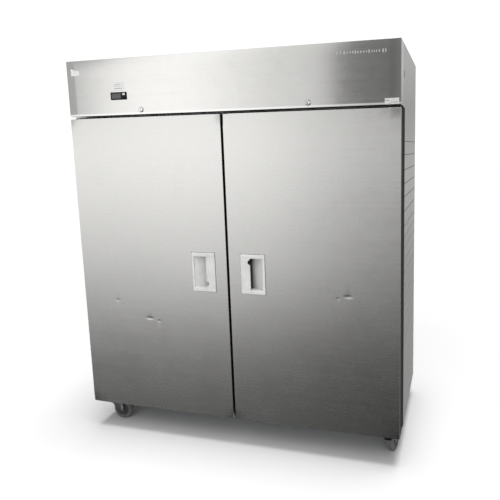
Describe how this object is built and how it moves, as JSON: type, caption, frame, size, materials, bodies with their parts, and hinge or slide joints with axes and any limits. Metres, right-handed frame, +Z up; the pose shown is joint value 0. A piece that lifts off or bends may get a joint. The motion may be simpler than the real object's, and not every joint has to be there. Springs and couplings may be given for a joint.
{
  "type": "reach-in refrigerator",
  "caption": "Two-door stainless reach-in refrigerator with a top machine header, recessed handles, cam locks and castors.",
  "frame": {"origin": "centre of the footprint, on the floor under the castors", "axes": "+X to the right of someone facing the doors, +Y to the back, +Z up; the doors face -Y"},
  "size_m": [1.5, 0.7, 1.75],
  "materials": {
    "stainless": "brushed",
    "galvanised": "spangled",
    "liner_steel": "satin",
    "foam": "matte",
    "black_plastic": "matte",
    "gasket_rubber": "matte",
    "pale_plastic": "satin",
    "white_casing": "satin",
    "black_steel": "satin",
    "zinc": "zinc plated",
    "wheel_rubber": "matte",
    "coil_aluminium": "satin",
    "copper": "polished",
    "shelf_wire": "polished",
    "brass_bush": "satin",
    "screen": "gloss",
    "lock_chrome": "polished",
    "fan_blades": "matte"
  },
  "bodies": {
    "cabinet": {"side_panel_left": "stainless", "side_panel_right": "stainless", "top_cover": "stainless", "back_panel": "galvanised", "machine_deck": "galvanised", "base_panel": "galvanised", "header_hinges": "galvanised", "inner_liner": "liner_steel", "condensate_tray": "liner_steel", "shelf_uprights": "liner_steel", "shelf_runners": "liner_steel", "foam_walls": "foam", "front_frame": "black_plastic", "cable_gland": "black_plastic", "evaporator_cover": "white_casing", "electrical_box": "white_casing", "corner_brackets": "black_steel", "top_hinges": "black_steel", "compressor": "black_steel", "fan_shroud": "black_steel", "castor_plates": "zinc", "condenser_coil": "coil_aluminium", "evaporator_coil": "coil_aluminium", "refrigerant_pipes": "copper", "shelves_left": "shelf_wire", "shelves_right": "shelf_wire"},
    "door_left": {"door_skin_left": "stainless", "door_edge_left": "black_plastic", "door_core_left": "foam", "door_liner_left": "liner_steel", "door_gasket_left": "gasket_rubber", "door_handle_left": "pale_plastic", "hinge_bushes_left": "brass_bush"},
    "door_right": {"door_skin_right": "stainless", "door_edge_right": "black_plastic", "door_core_right": "foam", "door_liner_right": "liner_steel", "door_gasket_right": "gasket_rubber", "door_handle_right": "pale_plastic", "hinge_bushes_right": "brass_bush"},
    "header": {"header_panel": "stainless", "controller_bezel": "black_plastic", "controller_screen": "screen", "lock_barrels": "lock_chrome"},
    "key_power": {"key_power": "pale_plastic"},
    "key_set": {"key_set": "black_plastic"},
    "lock_left": {"lock_plug_left": "lock_chrome"},
    "lock_right": {"lock_plug_right": "lock_chrome"},
    "condenser_fan": {"condenser_fan": "fan_blades"},
    "evaporator_fan": {"evaporator_fan": "fan_blades"},
    "fork_fl": {"castor_fork_fl": "zinc"},
    "wheel_fl": {"castor_wheel_fl": "wheel_rubber"},
    "fork_fr": {"castor_fork_fr": "zinc"},
    "wheel_fr": {"castor_wheel_fr": "wheel_rubber"},
    "fork_rl": {"castor_fork_rl": "zinc"},
    "wheel_rl": {"castor_wheel_rl": "wheel_rubber"},
    "fork_rr": {"castor_fork_rr": "zinc"},
    "wheel_rr": {"castor_wheel_rr": "wheel_rubber"},
    "brake_fl": {"brake_pedal_fl": "black_plastic"},
    "brake_fr": {"brake_pedal_fr": "black_plastic"}
  },
  "joints": [
    {"name": "door_left_hinge", "type": "hinge", "parent": "cabinet", "child": "door_left", "pos_m": [-0.729, -0.308, 0.81], "axis": [0, 0, -1], "range_deg": [0, 110], "stiffness_Nm_per_rad": 2},
    {"name": "door_right_hinge", "type": "hinge", "parent": "cabinet", "child": "door_right", "pos_m": [0.729, -0.308, 0.81], "axis": [0, 0, 1], "range_deg": [0, 110], "stiffness_Nm_per_rad": 2},
    {"name": "header_lift", "type": "hinge", "parent": "cabinet", "child": "header", "pos_m": [0, -0.244, 1.747], "axis": [-1, 0, 0], "range_deg": [0, 60]},
    {"name": "key_power_press", "type": "slide", "parent": "header", "child": "key_power", "axis": [0, 1, 0], "range_m": [0, 0.001], "stiffness_N_per_m": 300},
    {"name": "key_set_press", "type": "slide", "parent": "header", "child": "key_set", "axis": [0, 1, 0], "range_m": [0, 0.001], "stiffness_N_per_m": 300},
    {"name": "lock_left_turn", "type": "hinge", "parent": "header", "child": "lock_left", "pos_m": [-0.38, -0.33, 1.527], "axis": [0, 1, 0], "range_deg": [0, 90]},
    {"name": "lock_right_turn", "type": "hinge", "parent": "header", "child": "lock_right", "pos_m": [0.38, -0.33, 1.527], "axis": [0, 1, 0], "range_deg": [0, 90]},
    {"name": "condenser_fan_spin", "type": "hinge", "parent": "cabinet", "child": "condenser_fan", "pos_m": [-0.45, -0.157, 1.622], "axis": [0, 1, 0], "continuous": true},
    {"name": "evaporator_fan_spin", "type": "hinge", "parent": "cabinet", "child": "evaporator_fan", "pos_m": [0, 0.092, 1.369], "axis": [0, 1, 0], "continuous": true},
    {"name": "castor_fl_swivel", "type": "hinge", "parent": "cabinet", "child": "fork_fl", "pos_m": [-0.7, -0.246, 0.105], "axis": [0, 0, 1], "continuous": true},
    {"name": "castor_fl_roll", "type": "hinge", "parent": "fork_fl", "child": "wheel_fl", "pos_m": [-0.662, -0.246, 0.05], "axis": [0, 1, 0], "continuous": true},
    {"name": "brake_fl_press", "type": "hinge", "parent": "fork_fl", "child": "brake_fl", "pos_m": [-0.724, -0.246, 0.09], "axis": [0, -1, 0], "range_deg": [0, 15]},
    {"name": "castor_fr_swivel", "type": "hinge", "parent": "cabinet", "child": "fork_fr", "pos_m": [0.7, -0.246, 0.105], "axis": [0, 0, 1], "continuous": true},
    {"name": "castor_fr_roll", "type": "hinge", "parent": "fork_fr", "child": "wheel_fr", "pos_m": [0.7066, -0.20858, 0.05], "axis": [-0.9848, 0.1736, 0], "continuous": true},
    {"name": "brake_fr_press", "type": "hinge", "parent": "fork_fr", "child": "brake_fr", "pos_m": [0.69583, -0.26964, 0.09], "axis": [0.9848, -0.1736, 0], "range_deg": [0, 15]},
    {"name": "castor_rl_swivel", "type": "hinge", "parent": "cabinet", "child": "fork_rl", "pos_m": [-0.7, 0.27, 0.105], "axis": [0, 0, 1], "continuous": true},
    {"name": "castor_rl_roll", "type": "hinge", "parent": "fork_rl", "child": "wheel_rl", "pos_m": [-0.69016, 0.23329, 0.05], "axis": [0.9659, 0.2588, 0], "continuous": true},
    {"name": "castor_rr_swivel", "type": "hinge", "parent": "cabinet", "child": "fork_rr", "pos_m": [0.7, 0.27, 0.105], "axis": [0, 0, 1], "continuous": true},
    {"name": "castor_rr_roll", "type": "hinge", "parent": "fork_rr", "child": "wheel_rr", "pos_m": [0.687, 0.23429, 0.05], "axis": [0.9397, -0.342, 0], "continuous": true}
  ]
}
